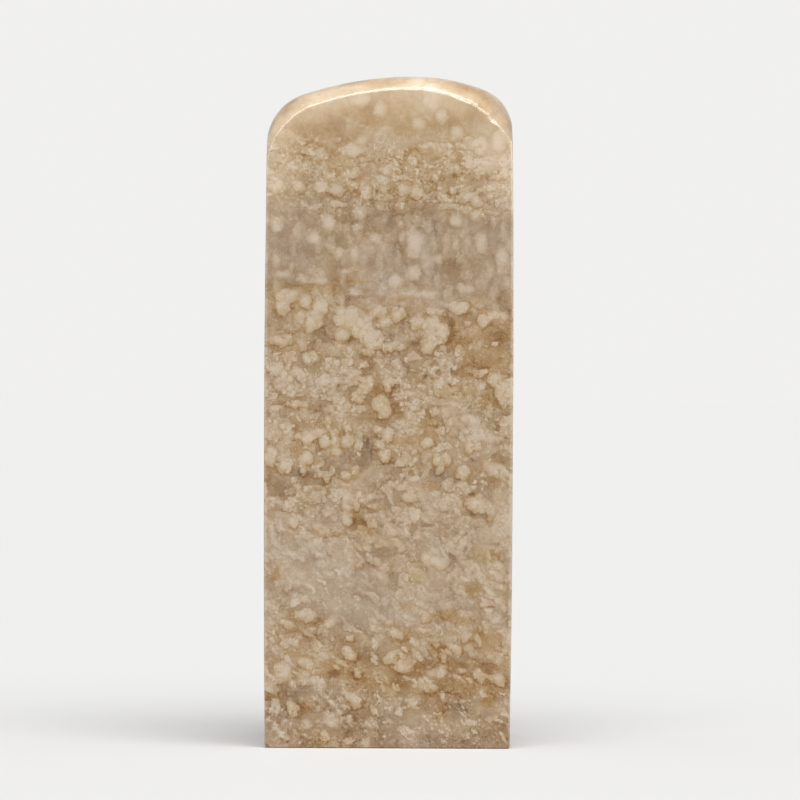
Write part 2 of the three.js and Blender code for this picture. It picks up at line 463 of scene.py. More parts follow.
TALL = [(50, 0.1), (56, 1), (66, 1), (70, 0.3), (81, 0.1)]
SLANT = [(0, 0.35), (8, 0.55), (14, 0.95), (24, 1.1), (30, 0.6), (36, 0)]
LAYERS = [
    (0, 0), (28, 0.2), (40, 0.6), (46, 0.5), (52, 0.4), (55, 0), (63, 0), (66, 0.9), (72, 0.9), (75, 0),
]
CRUMBS = [
    (0, 1), (5, 0.9), (9, 0.5), (20, 0.3), (40, 0.5), (46, 0.6), (53, 0.3), (60, 0.15), (67, 0.6), (71, 1),
    (73, 0.4), (76, 0),
]

# Lumps, hollows and stains that stand out on the front. Each is x, z, half width and half height in
# millimetres, and where it leans, how many degrees it falls to the right.
CRISP_LUMPS = [
    # The row under the thin layers
    (-10.9, 67.6, 0.9, 0.8), (-8.3, 67.3, 1, 0.7), (-6.3, 66.9, 0.7, 0.75), (-4.5, 67.7, 0.8, 0.6),
    (-2.9, 66.9, 0.7, 1), (-0.6, 67.4, 0.6, 0.8), (1.6, 67.3, 0.9, 0.7), (3.3, 66.9, 0.7, 0.8),
    (7.6, 67.2, 0.6, 0.6), (10.5, 65.8, 0.8, 0.7), (12, 67.3, 1.4, 0.5), (14, 69.2, 0.6, 0.7),
    (5.6, 68.6, 0.6, 0.4), (-13.5, 67.5, 1, 0.8),
    # The ragged masses below the clear band, left to right
    (-12.6, 54.3, 1.4, 0.8), (-12.8, 53.2, 0.9, 1.1), (-10.2, 53.8, 0.8, 0.9), (-11.4, 54.6, 1.3, 0.5),
    (-8.2, 53.1, 0.9, 1.2), (-9, 51.4, 1.1, 1.1, -45), (-9.6, 50.4, 0.7, 0.5, -30), (-4.9, 51.7, 1.8, 1.7),
    (-5.7, 49.9, 0.9, 1.2), (-3.4, 50.6, 1.5, 1.3), (-2, 49.2, 1.3, 1.2), (-1.2, 52.4, 1.1, 0.8, 15),
    (1.1, 52.2, 0.95, 0.9), (-0.3, 51.2, 0.9, 0.6), (3.6, 51, 1.1, 0.8), (5.2, 51.1, 1.3, 0.75),
    (6.4, 50, 0.9, 1.4), (5.2, 49.6, 1.2, 0.8, 30), (5.6, 52.4, 1.15, 0.5, 15), (8.4, 52.9, 1.8, 0.8, 8),
    (10.8, 53.1, 0.7, 0.45, 15), (11.3, 51.4, 0.8, 0.8), (13.1, 52, 1.3, 0.45, 8),
    (-11.3, 50.15, 0.45, 0.2), (0.6, 48.3, 1.4, 0.6), (4.7, 48.4, 1, 0.9), (-13.2, 49, 1.5, 0.7),
    (-2.6, 47.6, 0.9, 0.6),
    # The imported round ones
    (-0.9, 41.4, 1.3, 1), (-0.4, 40.4, 0.8, 0.8), (-3.6, 42.4, 0.9, 0.8), (-2.6, 43.8, 0.9, 1.1),
    (-0.15, 44, 0.65, 1.1), (10.8, 29.4, 1.5, 1.1), (12.3, 28.4, 0.45, 0.85), (5.4, 40.5, 0.55, 0.5),
    (4.7, 36.8, 0.8, 0.7), (5.3, 39.2, 0.4, 0.3), (-0.1, 37.6, 0.8, 0.75), (-1.2, 38.2, 0.8, 0.5),
    (-1.1, 36.4, 0.7, 0.6), (-0.4, 35.2, 0.9, 0.85), (-10.9, 37.4, 0.45, 0.45), (-9.6, 37.3, 0.8, 0.9),
    (-8.4, 38, 0.6, 0.6), (-7.3, 39, 0.5, 0.8), (-7.7, 36.7, 0.65, 0.7), (-6.4, 37.9, 0.65, 0.55),
    (-6.4, 36.6, 0.5, 0.6), (-5, 36.8, 0.65, 0.75), (-5, 38.7, 0.6, 0.7), (-6.3, 35.6, 0.6, 0.5),
    (-14.1, 34.9, 0.75, 1), (-12.3, 33.9, 0.8, 0.9, 30), (-9.8, 34.9, 0.85, 0.8), (-10.2, 33.4, 0.45, 0.8),
    (-8.2, 32.9, 0.7, 0.45), (-7.5, 32.6, 0.45, 0.6), (-6.6, 33.4, 0.4, 0.45), (-5.1, 32.7, 0.65, 0.65),
    (-4.1, 33.3, 0.5, 0.7), (-10.8, 41.3, 1.7, 0.42, 3), (5.9, 34.7, 0.6, 0.8), (6.9, 34.7, 0.6, 0.75),
    (6.2, 33.6, 0.45, 0.6), (9, 33.3, 0.9, 0.9), (9.7, 36.2, 0.45, 0.7), (10.7, 36.5, 0.45, 0.7),
    (13.1, 44.3, 1.2, 0.8), (14.1, 42.8, 1.2, 1.9), (-5, 29, 0.55, 0.6), (-3.9, 29.1, 0.5, 0.45),
    (-4.8, 27.4, 0.65, 0.75), (-2.6, 27.8, 0.5, 0.35), (-1.8, 29.2, 0.9, 0.4), (2.3, 30.1, 0.9, 0.5, 10),
    (-11.5, 27, 0.7, 0.6), (-8, 26.3, 1.6, 0.5, 18),
    # The slanting ones and the last scattered ones
    (-3.4, 22.3, 0.4, 0.65, 25), (-1.4, 22.4, 0.6, 0.4), (5.1, 22.9, 1.2, 1), (6.3, 22.3, 0.9, 0.7, 35),
    (-11.9, 19.4, 0.35, 0.7, 35), (11.7, 17.4, 0.6, 0.5), (4.5, 15.6, 0.5, 0.5),
    (-4.6, 13.2, 0.6, 0.4, 15), (1, 13.7, 1, 0.55, 30), (-0.3, 15.4, 1.3, 0.4, 42),
    (5.8, 12.6, 0.9, 0.55, 28), (6.8, 11.2, 0.5, 0.75), (8.1, 12.1, 0.9, 0.55, 35),
    (9.3, 13.3, 0.5, 0.8, 15), (-9.8, 15.9, 1.4, 0.8, 12), (-4.5, 11.4, 1.05, 0.7, 25),
    (0.1, 10.8, 0.85, 0.7), (1.9, 9.8, 1, 0.85), (-10, 10.3, 1.2, 0.6, 38), (-3.6, 9.1, 0.45, 0.5),
    (-4.1, 5.9, 1.3, 0.7, 48), (-11.4, 5, 1.2, 0.6, 55), (8.9, 9.3, 0.9, 0.35, 12), (11, 8.8, 1, 0.5, 60),
    (13.2, 8.4, 1.1, 0.7, 20), (4.6, 13.9, 0.3, 0.2), (-7.4, 1.3, 0.6, 0.8), (-4.9, 0.9, 1, 0.4),
]
SOFT_LUMPS = [
    # Blurred ones under the arch
    (-3.5, 78.1, 1.3, 0.9), (-1.2, 76.8, 0.8, 0.9), (3.4, 75.1, 0.9, 0.8), (6.2, 76, 0.8, 0.8),
    (8, 74.2, 0.85, 1.1), (-5, 75.6, 0.6, 0.4), (-9.7, 72, 0.5, 0.7), (-5.7, 73, 0.5, 0.4),
    (-3.4, 73, 1, 0.7), (-4.6, 72, 1.3, 1), (-8.3, 71.4, 1, 0.6), (4.1, 71.8, 0.8, 0.5),
    (7.2, 71.2, 1.2, 0.5, 12), (10.6, 72.5, 1.5, 1.2), (13, 73, 1, 1.4),
    # The tall ones in the clear band
    (3, 60.7, 1.1, 1.6), (2.9, 59.4, 0.9, 0.6), (4.2, 59.2, 0.5, 0.6), (-7.4, 63.2, 0.8, 1),
    (-6, 64.6, 0.5, 0.4), (-3.6, 64.4, 0.9, 0.8), (-3.8, 62.6, 0.7, 0.6), (-9, 61.3, 0.8, 0.8),
    (-4.7, 61.2, 0.35, 0.6), (-1.6, 61.4, 0.7, 0.8), (1.6, 61.5, 0.3, 0.6), (-6, 59.5, 0.5, 0.8),
    (-4.1, 59.5, 0.7, 0.9), (0.8, 56.3, 1, 0.9), (-5.5, 57.3, 0.8, 0.6), (11.1, 61, 0.8, 1.4),
    (7.9, 61, 0.4, 0.9), (8, 63.5, 0.8, 0.9), (10.3, 64.2, 0.7, 0.8), (-13.5, 63, 0.8, 0.9),
    (-13.7, 58.8, 0.5, 0.6), (3.1, 57.4, 0.9, 1), (9.3, 55.4, 1.1, 0.7), (6, 59, 0.8, 0.6),
    (13.5, 59.5, 0.8, 1.2), (-12.8, 56.9, 1.2, 0.45), (-10.5, 56.4, 0.6, 0.4, 20), (-8.4, 56.2, 0.7, 0.3),
    (4.5, 54.6, 2.6, 0.5), (-4.3, 54.8, 1.4, 0.5),
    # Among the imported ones
    (2.9, 40.4, 1, 1.2), (2.6, 39.4, 0.9, 0.5), (6.8, 40.6, 0.6, 0.5), (2.9, 37.4, 0.8, 0.7),
    (9.3, 39.6, 2.6, 0.8, 10), (11.4, 37.8, 2.4, 0.9, 12), (13, 33.5, 2, 0.9, 33), (-3.7, 36.6, 0.45, 0.7),
    (-13.5, 37.6, 0.8, 0.7), (-12, 37.5, 0.6, 0.8), (-13.2, 39, 1.2, 0.5), (-13.5, 46.8, 0.9, 0.6),
    (-9.3, 46.9, 1, 0.9), (-4.5, 45, 1.1, 1), (-12.5, 43.2, 1.8, 0.7), (-9, 43, 1.1, 0.6),
    # Lower right and lower left
    (9.2, 31.3, 1.2, 0.9), (7.2, 29.6, 1.6, 1.2), (10.6, 27.3, 0.8, 0.5), (8.5, 27.3, 0.5, 0.7),
    (7.1, 27.6, 0.7, 0.7), (8.7, 25.2, 0.6, 0.5), (1.3, 26.1, 1.3, 0.6, 35), (-12.6, 21.7, 1, 0.7, 40),
    (-10.5, 20.9, 1, 0.8), (-8.5, 21.2, 1.2, 0.6, 42), (-5.2, 21.2, 1.2, 0.6, 48), (2.6, 19.4, 0.7, 0.5),
    (7.2, 20.5, 0.35, 0.6), (8.4, 21.2, 0.5, 0.5), (13.7, 19.6, 0.7, 0.5), (13.7, 17, 0.8, 0.8),
    (12.1, 19.7, 0.7, 0.9), (-6.3, 15.6, 0.8, 0.5), (-13.3, 16, 0.9, 0.3, 55), (-10.7, 13.5, 0.35, 0.5),
    (-0.9, 13.3, 0.5, 0.35), (10.7, 11.4, 1, 0.5, 12), (12.6, 11, 1.2, 0.7), (12.4, 15.8, 0.8, 0.4, 40),
    (-12.6, 9.4, 1.1, 1.5), (-9.8, 8.8, 0.8, 0.6), (-13.4, 4.9, 0.8, 1), (-9.6, 2.9, 0.8, 0.6, 30),
    (-12.8, 1.9, 1.3, 0.5, 55), (6.7, 9.6, 0.4, 0.7), (-2.8, 0.6, 0.6, 0.4), (-6.8, 3.3, 1.2, 0.7, 40),
    (-2.2, 3, 1, 0.6), (-7, 17.9, 1.2, 0.25, 55), (-2.4, 17.3, 0.8, 0.2, 35), (-1, 20.9, 1.4, 0.6, 30),
]
HOLLOWS = [
    (-7.35, 51, 0.6, 0.8), (-7.5, 49.2, 1.5, 0.8), (-1.2, 50.3, 0.8, 0.4, 30), (0.2, 49.7, 1, 0.7),
    (1.5, 50.7, 0.5, 1.3), (-4.7, 49, 0.4, 0.6), (-8.2, 49.9, 1.2, 1), (-6.5, 61.2, 1.6, 0.8),
    (1, 60, 0.9, 1.2), (-3.3, 59.5, 0.5, 1), (6.2, 57.3, 1.3, 1.4), (-12.3, 60, 1.8, 0.8),
    (-0.3, 63.3, 0.9, 1.3), (-2.4, 58.4, 0.8, 0.9), (5.5, 62.6, 0.8, 1), (8.9, 63.3, 0.3, 1.2),
    (11, 55.3, 0.5, 0.8), (1.9, 58, 0.4, 0.9), (-8.7, 66, 1, 0.6), (-5.2, 66, 0.7, 0.6),
    (-2, 65.7, 0.7, 0.6), (-4.8, 34.9, 1, 0.8), (-3.3, 34.2, 1.2, 0.8), (-6, 33.2, 1.4, 0.8),
    (-9, 31.9, 2.4, 0.5), (-10.5, 33, 2.6, 0.5, 5), (-2.6, 36.2, 0.6, 1.1), (6.8, 33, 1.6, 0.7),
    (10.5, 34.8, 0.8, 0.6), (4.6, 26.4, 1.6, 0.8, 40), (7.6, 23, 0.8, 0.9), (-3.4, 20.8, 1.2, 0.7, 20),
    (-4, 15.5, 2, 1.3), (-8, 13.2, 2, 0.7), (-11, 19, 2.6, 0.5), (-2, 18.6, 2, 0.7, 25),
    (8.3, 4.4, 2.2, 1.2), (5.2, 1.3, 1.5, 0.9), (8.6, 0.9, 1.5, 0.7), (-10, 7.4, 1.6, 0.6),
    (11.5, 1.5, 1.5, 0.8), (-1.5, 23.4, 2.5, 0.8), (-8.8, 22.9, 1.3, 0.4), (-12.8, 31.3, 1.6, 1.2),
]
STAINS = [
    (-9.5, 74.3, 2.4, 0.9), (-10.8, 73, 2, 1.2), (-4.8, 76.6, 1.6, 0.7), (1.2, 76.9, 1.6, 1.3),
    (-1.9, 75.3, 1.4, 0.5), (1.4, 74.4, 0.9, 0.6), (5.1, 75.1, 0.7, 0.7), (9.3, 73.9, 0.6, 0.4),
    (-11, 71, 1.6, 0.6), (-11.2, 69.2, 1.6, 0.5), (5, 71, 3, 1.6), (8.8, 69.3, 1.6, 1.3),
    (5.3, 67.4, 0.4, 0.6), (11.6, 68.7, 2, 0.4), (-7, 55.2, 0.9, 0.8), (-10.5, 55.5, 2.4, 0.4),
    (-4, 56.1, 2, 0.3), (1, 54, 1.6, 0.4), (-11.2, 52.7, 0.5, 0.7), (-10, 52.4, 0.5, 0.6),
    (7.6, 50.2, 0.6, 1.6), (12.8, 49.8, 2.4, 0.7), (13, 50.95, 1.4, 0.3), (9.2, 48.9, 1.4, 0.8),
    (12, 47, 2.6, 1.2), (9.3, 45.1, 1.6, 0.8), (8.5, 43, 2.4, 0.9), (12, 41.8, 1.6, 1),
    (-1.3, 43, 0.5, 0.9), (0.9, 40.6, 0.5, 1), (1.6, 36.9, 1.2, 0.7), (-11.5, 35.8, 1.5, 0.5),
    (4.2, 38.5, 0.6, 0.9), (-3, 26.6, 1.2, 0.9), (-4, 28, 0.6, 0.9), (12.4, 23.2, 1.5, 0.7),
    (11, 24, 1, 0.4), (10.2, 19, 1.6, 0.9), (2.2, 17.1, 1.3, 0.5), (-13.4, 20.8, 0.5, 0.9, 40),
    (3.4, 20.7, 0.7, 0.8), (7, 16, 2.5, 0.8), (8.8, 15.1, 1.1, 0.5), (12, 13.6, 1.6, 0.8),
    (7, 13.9, 1.2, 0.35), (6, 11.9, 1.2, 0.9, 40), (-11, 11.2, 2, 0.35, 12), (-6, 10.1, 2.2, 0.5, 5),
    (-6.9, 9.2, 1.6, 0.8), (-3, 8.6, 2, 0.6, 12), (0.5, 7.8, 2, 0.5, 8), (5, 6.8, 2.6, 0.5),
    (8.5, 7.6, 2.6, 1.3), (8, 9.9, 2.2, 0.6), (11.8, 9.8, 1.6, 0.5), (12.7, 7.1, 0.6, 1.6),
    (12, 5.6, 0.8, 0.8), (6.5, 4.4, 0.8, 1.3), (-13.5, 6.3, 1.6, 0.4), (3.6, 9.5, 1.3, 1),
    (-10, 5, 1.2, 0.8), (5, 31.6, 1.2, 0.6),
]
DARK_MARKS = [
    (3.1, 48.7, 0.75, 0.55), (3.85, 49.6, 0.15, 0.5), (7.4, 50.8, 0.4, 0.8), (-2.6, 36.6, 0.3, 0.8),
    (-1.3, 34.5, 0.9, 0.22, 20), (-2.1, 35.3, 0.3, 0.7), (-3.85, 27.2, 0.28, 0.55), (-6.6, 9, 0.8, 0.5),
    (4.6, 21.6, 0.12, 0.4), (-12, 0.35, 0.11, 0.1), (5.3, 38.9, 0.7, 0.16, 20), (10.1, 30.7, 0.3, 0.25),
    (9.3, 24.2, 0.3, 0.4), (-7, 23.2, 0.2, 0.5, -30), (9.9, 41, 0.3, 0.4), (-4.2, 68.4, 1, 0.13),
    (8.4, 68.6, 1, 0.14, 8), (5.2, 46.2, 0.9, 0.3, 20), (4.4, 44.6, 0.5, 0.4), (-0.2, 47.8, 0.2, 0.3),
    (10.9, 66.6, 1, 0.12, 8), (-5.2, 67.3, 0.2, 0.5), (-1.6, 66.9, 0.2, 0.5), (6.9, 12, 0.15, 0.6, -40),
    (6.5, 6.5, 2.3, 0.12, 3), (-8.2, 25.4, 1.2, 0.12, 5), (3.1, 29.1, 1.1, 0.1, 28),
    (8.6, 28.5, 1.1, 0.08, 40),
]
BEIGE_WEDGE = [(12.6, 25.9, 2.4, 1.2, -12), (13.7, 29.0, 1.3, 3.5)]
HAZE = [(-6.5, 20.5, 8.5, 4.0, 20), (-4.0, 17.0, 7.0, 2.5, 12), (1.0, 73.4, 4.5, 1.4)]

# How far below the top the arch's line is followed for the painted light by the arch, and every how many of
# its points are enough
ARCH_DROP = 14
ARCH_STRIDE = 3

# Sizes of the noise that bends the pattern, in millimetres
COARSE = 5.0
MEDIUM = 1.9
FINE = 0.5
FINEST = 0.2

# What a place is multiplied by, so that its pattern lies flat or stands upright
FLAT = Vector((0.4, 1, 1.2))
UPRIGHT = Vector((1.2, 1, 0.6))
SLAB = Vector((0.6, 1, 1.3))
LAYER = Vector((0.5, 1, 1.4))

# How many degrees mist and slabs fall to the right, and how far the levels do for each millimetre
MIST_FALL = 35
SLAB_FALL = 42
LEVELS_FALL = 0.05

# A lump's largest radius, in spacings between lumps, and the level that hollows tend to
LARGEST_LUMP = 0.6
HOLLOW_LEVEL = 0.42

# How deep the random marks of the inside set in and hold in full, and how deep and far down the painted
# light by the top and arch reaches
INSIDE_FROM = 0.6
INSIDE_FULLY = 2.4
PAINTED_LIGHT_DEPTH = 2.5
PAINTED_LIGHT_DROP = 15


def radii_away(points, shapes):
    """For each shape: how many of its radii off the points are, its least radius, how high they are."""
    for x, z, half_width, half_height, *fall in shapes:
        turn = math.radians(fall[0] if fall else 0)
        right, up = points[:, 0] - x, points[:, 2] - z
        along = right * math.cos(turn) - up * math.sin(turn)
        across = right * math.sin(turn) + up * math.cos(turn)
        least_radius = min(half_width, half_height)
        deep = points[:, 1] + DEPTH / 2
        offsets = np.column_stack([along / half_width, across / half_height, deep / least_radius])
        yield np.linalg.norm(offsets, axis=1), least_radius, up / half_height


def gap_outside(points, shapes):
    """How many millimetres each point lies outside the nearest shape, negative inside one."""
    return np.min([(away - 1) * radius for away, radius, _ in radii_away(points, shapes)], axis=0)


def height_on(points, shapes):
    """How high each point lies on the nearest shape: -1 at its foot, 1 at its top, 1.5 at most."""
    away, radius, up = zip(*radii_away(points, shapes))
    nearest = ((np.array(away) - 1) * np.array(radius)[:, None]).argmin(axis=0)
    return np.clip(np.array(up)[nearest, np.arange(len(points))], -1.5, 1.5)


def radii_from(points, shapes):
    """How many of its radii each point lies from the middle of the nearest shape."""
    return np.min([away for away, _, _ in radii_away(points, shapes)], axis=0)


def gap_to_arch(points):
    """How many millimetres each point lies from the arch's outline, seen from the front."""
    outline = np.vstack([half_outline(-1), half_outline(1)])
    arch = outline[outline[:, 1] > HEIGHT - ARCH_DROP]
    gap = np.full(len(points), np.inf)
    for x, z, _, _ in arch[::ARCH_STRIDE]:
        gap = np.minimum(gap, np.hypot(points[:, 0] - x, points[:, 2] - z))
    return gap


def mark_front(mesh):
    """Keeps on the mesh how far each point is from the arch and from the shapes on the front."""
    points = values_of(mesh.vertices, "co", width=3) / MM
    marks = {
        "crisp_gap": gap_outside(points, CRISP_LUMPS),
        "crisp_height": height_on(points, CRISP_LUMPS),
        "soft_gap": gap_outside(points, SOFT_LUMPS),
        "hollow_radii": radii_from(points, HOLLOWS),
        "stain_radii": radii_from(points, STAINS),
        "wedge_radii": radii_from(points, BEIGE_WEDGE),
        "haze_radii": radii_from(points, HAZE),
        "arch_gap": gap_to_arch(points),
    }
    for name, values in marks.items():
        mesh.attributes.new(name, "FLOAT", "POINT").data.foreach_set("value", values)


# Shader arithmetic

class Field:
    """A number or vector that varies over the stone: a node's output, with arithmetic that adds nodes."""

    def __init__(self, socket):
        self.socket = socket
        self.is_vector = socket.type in ("VECTOR", "RGBA")

    def __add__(self, other):
        return arithmetic("ADD", self, other)

    def __sub__(self, other):
        return arithmetic("SUBTRACT", self, other)

    def __rsub__(self, other):
        return arithmetic("SUBTRACT", other, self)

    def __mul__(self, other):
        return arithmetic("MULTIPLY", self, other)


def add_node(tree, kind, inputs, **settings):
    """A new node with its inputs set to values or fed by fields."""
    node = tree.nodes.new("ShaderNode" + kind)
    for name, value in settings.items():
        setattr(node, name, value)
    for name, value in inputs.items():
        socket = node.inputs[name]
        if isinstance(value, Field):
            tree.links.new(value.socket, socket)
        elif socket.type == "VECTOR" and not hasattr(value, "__len__"):
            socket.default_value = (value, value, value)
        else:
            socket.default_value = value
    return node


def arithmetic(operation, *values):
    fields = [value for value in values if isinstance(value, Field)]
    tree = fields[0].socket.id_data
    inputs = dict(enumerate(values))
    if any(field.is_vector for field in fields):
        node = add_node(tree, "VectorMath", inputs, operation=operation)
        return Field(node.outputs["Value" if operation == "LENGTH" else "Vector"])
    return Field(add_node(tree, "Math", inputs, operation=operation).outputs[0])


def least(a, b):
    return arithmetic("MINIMUM", a, b)


def most(a, b):
    return arithmetic("MAXIMUM", a, b)


def magnitude(value):
    return arithmetic("ABSOLUTE", value)


def rise(value, start, end):
    """0 up to start and 1 from end on, with a smooth step between. Start may lie above end."""
    inputs = {"Value": value, "From Min": start, "From Max": end}
    node = add_node(value.socket.id_data, "MapRange", inputs, interpolation_type="SMOOTHSTEP")
    return Field(node.outputs["Result"])


def toward(value, target, share):
    """A number moved that share of the way to a target."""
    node = add_node(share.socket.id_data, "Mix", {0: share, 2: value, 3: target})
    return Field(node.outputs[0])


def linear(tone):
    """The scene colour of a tone as screens show it, from 0 to 255."""
    shares = [value / 255 for value in tone]
    return [share / 12.92 if share < 0.04 else ((share + 0.055) / 1.055) ** 2.4 for share in shares] + [1]


def blend(share, under, over):
    """One colour over another, each a tone or a field."""
    under, over = [tone if isinstance(tone, Field) else linear(tone) for tone in (under, over)]
    node = add_node(share.socket.id_data, "Mix", {0: share, 6: under, 7: over}, data_type="RGBA")
    return Field(node.outputs[2])


def ramp(value, stops):
    """A colour that changes straight between pairs of value and colour."""
    node = add_node(value.socket.id_data, "ValToRGB", {"Fac": value})
    elements = node.color_ramp.elements
    while len(elements) < len(stops):
        elements.new(1.0)
    for element, (at, colour) in zip(elements, stops):
        element.position = at
        element.color = colour
    return Field(node.outputs["Color"])


def toned(level, tones):
    """A colour for a level from 0 to 1, straight between evenly spaced tones."""
    return ramp(level, [(number / (len(tones) - 1), linear(tone)) for number, tone in enumerate(tones)])


def by_height(at, levels):
    """A share that changes with height, straight between pairs of height in millimetres and share."""
    return ramp(at.height * (1 / HEIGHT), [(z / HEIGHT, (share, share, share, 1)) for z, share in levels])


def parts(vector):
    node = add_node(vector.socket.id_data, "SeparateXYZ", {0: vector})
    return [Field(output) for output in node.outputs]


def kept(tree, name):
    """A value that the mesh keeps at its points."""
    return Field(add_node(tree, "Attribute", {}, attribute_name=name).outputs["Fac"])


def noise_node(place, size, detail):
    inputs = {"Vector": place, "Scale": 1 / size, "Detail": detail}
    return add_node(place.socket.id_data, "TexNoise", inputs)


def cloud(place, size, detail=1.0):
    """Smooth noise from 0 to 1 with features of about that size."""
    return Field(noise_node(place, size, detail).outputs["Fac"])


def bend(place, size, reach):
    """A smooth shift every way over about that size, by up to half of reach."""
    return (Field(noise_node(place, size, detail=1.0).outputs["Color"]) - 0.5) * reach


def cells(place, size):
    """The nearest of the strewn points: how many sizes off it is, three random shares, and its place."""
    inputs = {"Vector": place, "Scale": 1 / size, "Randomness": 1.0}
    node = add_node(place.socket.id_data, "TexVoronoi", inputs, feature="F1")
    distance, colour, position = [Field(node.outputs[name]) for name in ("Distance", "Color", "Position")]
    return distance, parts(colour), position


def leaning(place, degrees):
    """The same place in axes that fall that far to the right."""
    inputs = {"Vector": place, "Angle": -math.radians(degrees)}
    node = add_node(place.socket.id_data, "VectorRotate", inputs, rotation_type="Y_AXIS")
    return Field(node.outputs["Vector"])


def radii_from_marks(place, marks):
    """How many of its radii a place lies from the middle of the nearest mark on the front."""
    axes, nearest = {}, None
    for x, z, half_width, half_height, *fall in marks:
        degrees = fall[0] if fall else 0
        if degrees not in axes:
            axes[degrees] = leaning(place, degrees)
        cosine, sine = math.cos(math.radians(degrees)), math.sin(math.radians(degrees))
        radii = (half_width, min(half_width, half_height), half_height)
        centre = (x * cosine - z * sine, -DEPTH / 2, x * sine + z * cosine)
        scale = [1 / radius for radius in radii]
        shift = [-at / radius for at, radius in zip(centre, radii)]
        away = arithmetic("LENGTH", arithmetic("MULTIPLY_ADD", axes[degrees], scale, shift))
        nearest = away if nearest is None else least(nearest, away)
    return nearest


# The marbling: a level from 0, dark, to 1, pale, built up in layers, and a warmth that sets the hue.
# A number added to a place shifts the pattern, so that it doesn't repeat another.

def lumps(level, place, size, amount, *, soft, top, halo_and_shade, cover=1.0, knobs=0.0):
    """Strewn round lumps: palest in the middle, their lower part a little darker as painted shade.

    Each has a darker ring outside, partly the stone's own ochre edging and partly a painted shadow that is
    strongest under it; halo_and_shade sets how dark. Size is their spacing and soft the blur of their edges,
    in millimetres. Amount sets how many and how large they are, top is the level in their middle, and cover
    how far they hide what is under them.
    """
    away, (blurred, rare, dull), middle = cells(place, size)
    away = away + knobs
    reach = rise(amount - rare, -0.02, 0.4) * LARGEST_LUMP
    gap = (away - reach) * size
    below = rise(parts(place - middle)[2], size * 0.4, -size * 0.4)
    # Painted shadow: the dark ring outside each lump is five times as strong below it as above; only the
    # even part is the stone's own edging
    shade = rise(gap, 0.1 + size * 0.2, 0.0) * (below * 0.8 + 0.2) * rise(reach, 0.1, 0.3)
    level = level - shade * halo_and_shade
    # Painted shade: the lump's lower part is a little darker
    body = top - rise(away, 0.1, 0.7) * 0.2 - dull * 0.14 - below * 0.06
    blur = blurred * soft + soft * 0.3
    return toward(level, body, rise(arithmetic("DIVIDE", gap, blur), 1.0, -1.0) * cover)


def stone_places(tree):
    """What the layers share: the place in the stone, bent more and more, its height, and slow changes."""
    at = SimpleNamespace()
    at.plain = Field(add_node(tree, "TexCoord", {}).outputs["Object"]) * (1 / MM)
    at.x, at.y, at.z = parts(at.plain)
    at.front = rise(at.y, INSIDE_FULLY - DEPTH / 2, INSIDE_FROM - DEPTH / 2)
    at.ragged = at.plain + bend(at.plain, MEDIUM, 1.2) + bend(at.plain, FINE, 0.5)
    at.flowing = at.ragged + bend(at.plain, COARSE, 3.0)
    at.height = at.z + at.x * LEVELS_FALL + (cloud(at.plain, 6.0) - 0.5) * 7.0
    at.patchy = cloud(at.plain, 3.2, 2.0)
    at.wobble = (cloud(at.plain, MEDIUM) - 0.5) * 0.9 + (cloud(at.plain, FINE) - 0.5) * 0.6
    at.knobs = cells(at.ragged, 0.9)[0] - 0.5
    at.small_knobs = cells(at.ragged, 0.42)[0] - 0.5
    at.broad = (cloud(at.flowing + 70.0, 5.5) - 0.5) * 0.6
    drawn_out = cloud(leaning(at.flowing, MIST_FALL) * FLAT, 2.0, 3.0)
    at.misty = toward(cloud(at.flowing, 2.6, 3.0), drawn_out, rise(at.height, 32.0, 26.0)) - 0.5
    vein_cloud = cloud(at.flowing * FLAT, 1.8, 2.0) - 0.5
    at.vein = rise(magnitude(vein_cloud), 0.03, 0.0) * by_height(at, VEINS)
    return at


def add_marks(tree, at):
    """Adds how strongly each mark holds: placed on the front, random inside."""
    deep = 1.0 - at.front
    hollows = rise(cloud(at.flowing, 4.5), 0.53, 0.66) * deep
    stains = rise(cloud(at.flowing + 31.0, 3.6), 0.55, 0.66) * deep
    at.hollow = most(rise(kept(tree, "hollow_radii") + at.wobble, 1.5, 0.3), hollows)
    at.stain = most(rise(kept(tree, "stain_radii") + at.wobble, 1.6, 0.3), stains)
    at.wedge = rise(kept(tree, "wedge_radii") + at.wobble * 0.4, 1.2, 0.7)
    at.haze = rise(kept(tree, "haze_radii") + at.wobble * 0.5, 1.2, 0.6)
    at.dark = rise(radii_from_marks(at.ragged, DARK_MARKS), 1.5, 0.3)
    at.calm = most(most(at.hollow * 0.5, at.wedge), most(at.haze * 0.55, at.stain * 0.4))
    at.soft_gap = kept(tree, "soft_gap") + at.wobble + at.knobs * 0.4
    crisp_gap = kept(tree, "crisp_gap")
    at.beside_crisp = rise(crisp_gap + at.wobble * 0.5, 0.9, 0.3)
    at.crisp_gap = crisp_gap + at.wobble + at.knobs * 0.35 + at.small_knobs * 0.1
    at.lift = kept(tree, "crisp_height") + at.wobble
    # Darker edging of the crisp lumps: partly the stone's own ochre, partly a painted shadow that is
    # strongest under each lump
    at.rim = rise(at.crisp_gap, 0.45, 0.0) * rise(at.lift, 1.2, -0.8)


def clear_stone(at):
    """The level of the clear stone, its veins, and what is blurred deep inside it."""
    level = by_height(at, DEPTH_TONE) + at.misty * by_height(at, VARIETY) * 0.9 + at.broad
    level = toward(level, HOLLOW_LEVEL, at.hollow * 0.8)
    level = level - at.vein * 0.22
    amount = 0.9 - at.calm * 0.5
    level = lumps(level, at.flowing, 2.4, amount, soft=0.7, top=0.88, halo_and_shade=0.08, cover=0.55)
    amount = by_height(at, TALL) * at.patchy * 1.9
    level = lumps(level, at.flowing * UPRIGHT, 1.4, amount, soft=0.35, top=0.93, halo_and_shade=0.08, cover=0.8)
    level = level - rise(at.soft_gap, 0.6, 0.1) * 0.07
    soft_body = 1.0 - rise(at.soft_gap, -0.7, 0.0) * 0.18
    level = toward(level, soft_body, rise(at.soft_gap, 0.25, -0.25) * 0.9)
    return toward(level, at.misty * 0.5 + 0.74, at.haze * 0.6)


